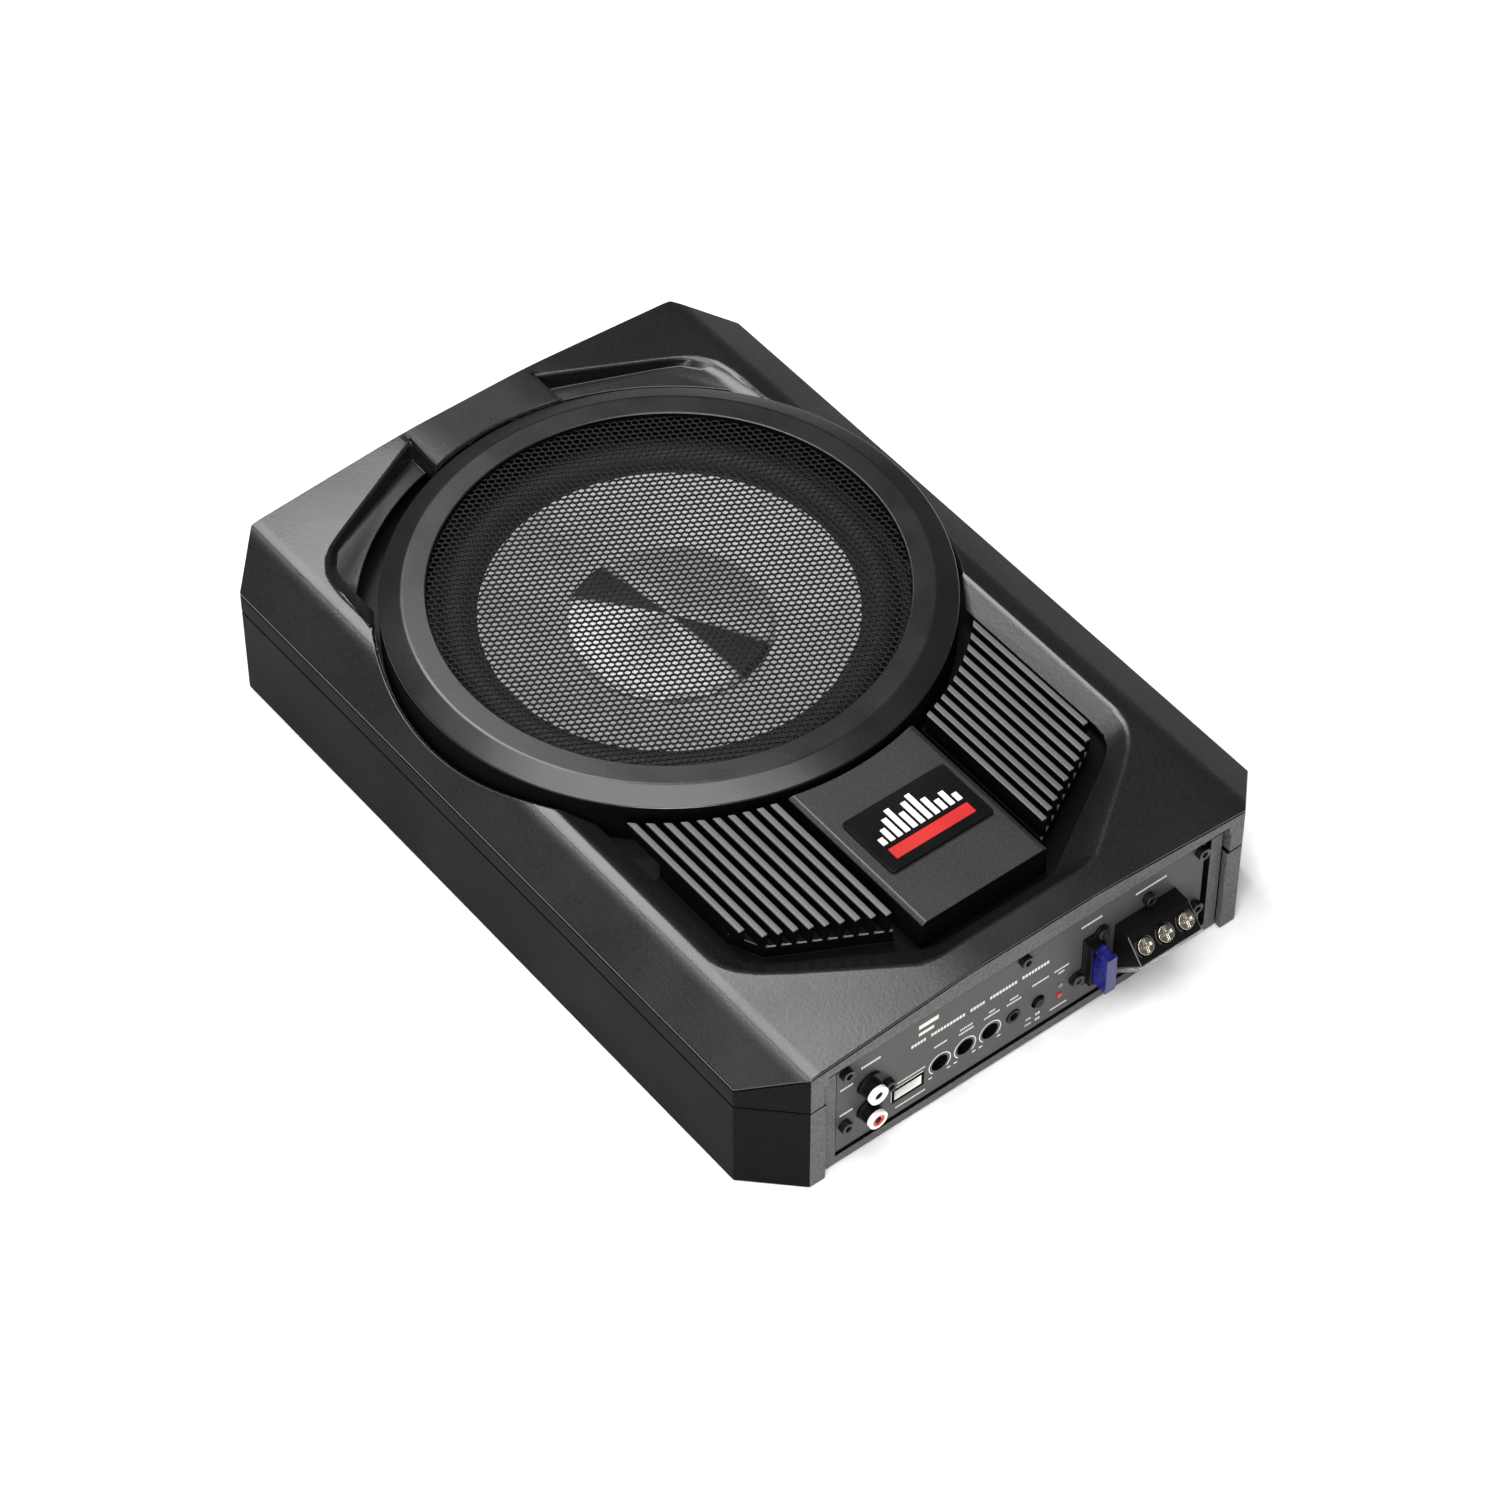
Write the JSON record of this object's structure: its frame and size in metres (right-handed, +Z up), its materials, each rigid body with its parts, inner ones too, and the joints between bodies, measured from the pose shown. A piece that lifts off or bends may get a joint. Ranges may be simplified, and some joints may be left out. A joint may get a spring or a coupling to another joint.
{
  "type": "powered car subwoofer",
  "caption": "Flat powered subwoofer for under a car seat: round driver behind a perforated grille in a crowned case, finned heat sink, and front panel with jacks, trimmers, fuse and terminals.",
  "frame": {"origin": "centre of the bounding box, on the base plane z = 0", "axes": "+Z up out of the lid; the control panel faces -Y; the long side of the case lies along Y"},
  "size_m": [0.2422, 0.3574, 0.072],
  "materials": {
    "case_paint": "fine textured dark paint",
    "lid_paint": "fine textured black-grey paint",
    "ring_paint": "satin dark grey",
    "black_metal": "black paint",
    "heat_sink": "gloss black anodised",
    "panel_paint": "satin dark grey with pale printing",
    "black_steel": "blackened",
    "black_plastic": "satin",
    "badge": "gloss",
    "silver_cone": "satin metal",
    "spun_metal": "spun, circular brushing",
    "rubber": "matt",
    "cloth": "treated woven cloth",
    "kapton": "amber film",
    "copper": "enamelled wire",
    "steel": "zinc plated",
    "ferrite": "matt ferrite",
    "nickel": "nickel plated",
    "white_plastic": "gloss",
    "red_plastic": "gloss",
    "clear_plastic": "clear",
    "clear_lamp": "clear lens",
    "fuse_blue": "tinted clear",
    "board": "green lacquer"
  },
  "bodies": {
    "case": {"lower_tray": "case_paint", "upper_housing": "case_paint", "lid": "lid_paint", "baffle_plate": "black_metal", "centre_plate": "lid_paint", "badge": "badge", "heat_sink": "heat_sink", "trim_ring": "ring_paint", "grille": "black_metal", "speaker_basket": "black_metal", "driver_screws": "steel", "surround": "rubber", "spider": "cloth", "top_plate": "steel", "magnet": "ferrite", "yoke": "steel", "control_panel": "panel_paint", "panel_screws": "black_steel", "input_jack_body": "black_plastic", "left_jack_insert": "white_plastic", "right_jack_insert": "red_plastic", "jack_contacts": "nickel", "speaker_input_socket": "white_plastic", "speaker_input_pins": "nickel", "trimmer_housings": "black_plastic", "remote_jack": "black_plastic", "phase_switch": "black_plastic", "power_lamp": "clear_lamp", "protect_lamp": "red_plastic", "fuse_holder": "black_plastic", "terminal_block": "black_plastic", "terminal_guard": "clear_plastic", "circuit_board": "board", "capacitors": "black_plastic", "toroid": "copper", "output_coils": "copper", "power_transistors": "black_plastic", "transistor_clamp": "steel", "case_screws": "black_steel", "speaker_leads": "red_plastic"},
    "cone_assembly": {"speaker_cone": "silver_cone", "dust_cap": "spun_metal", "coil_former": "kapton", "voice_coil": "copper"},
    "gain_control": {"gain_trimmer": "black_plastic"},
    "boost_control": {"boost_trimmer": "black_plastic"},
    "crossover_control": {"crossover_trimmer": "black_plastic"},
    "phase_control": {"phase_button": "black_plastic"},
    "blade_fuse": {"fuse": "fuse_blue"},
    "supply_clamp_screw": {"supply_screw": "nickel"},
    "ground_clamp_screw": {"ground_screw": "nickel"},
    "turn_on_clamp_screw": {"turn_on_screw": "nickel"}
  },
  "joints": [
    {"name": "cone_travel", "type": "slide", "parent": "case", "child": "cone_assembly", "axis": [0, 0, 1], "range_m": [-0.005, 0.005], "stiffness_N_per_m": 2900, "deforming": ["surround"]},
    {"name": "gain_turn", "type": "hinge", "parent": "case", "child": "gain_control", "pos_m": [-0.0395, -0.15975, 0.0207], "axis": [0, -1, 0], "range_deg": [-135, 135]},
    {"name": "boost_turn", "type": "hinge", "parent": "case", "child": "boost_control", "pos_m": [-0.0277, -0.15975, 0.0207], "axis": [0, -1, 0], "range_deg": [-135, 135]},
    {"name": "crossover_turn", "type": "hinge", "parent": "case", "child": "crossover_control", "pos_m": [-0.0159, -0.15975, 0.0207], "axis": [0, -1, 0], "range_deg": [-135, 135]},
    {"name": "phase_press", "type": "slide", "parent": "case", "child": "phase_control", "axis": [0, 1, 0], "range_m": [0, 0.0015], "stiffness_N_per_m": 400},
    {"name": "fuse_pull", "type": "slide", "parent": "case", "child": "blade_fuse", "axis": [0, -1, 0], "range_m": [0, 0.018]},
    {"name": "supply_screw_turn", "type": "hinge", "parent": "case", "child": "supply_clamp_screw", "pos_m": [0.0474, -0.1748, 0.03265], "axis": [0, -0.7408, 0.6717], "range_deg": [0, 360]},
    {"name": "ground_screw_turn", "type": "hinge", "parent": "case", "child": "ground_clamp_screw", "pos_m": [0.0572, -0.1748, 0.03265], "axis": [0, -0.7408, 0.6717], "range_deg": [0, 360]},
    {"name": "turn_on_screw_turn", "type": "hinge", "parent": "case", "child": "turn_on_clamp_screw", "pos_m": [0.067, -0.1748, 0.03265], "axis": [0, -0.7408, 0.6717], "range_deg": [0, 360]}
  ]
}
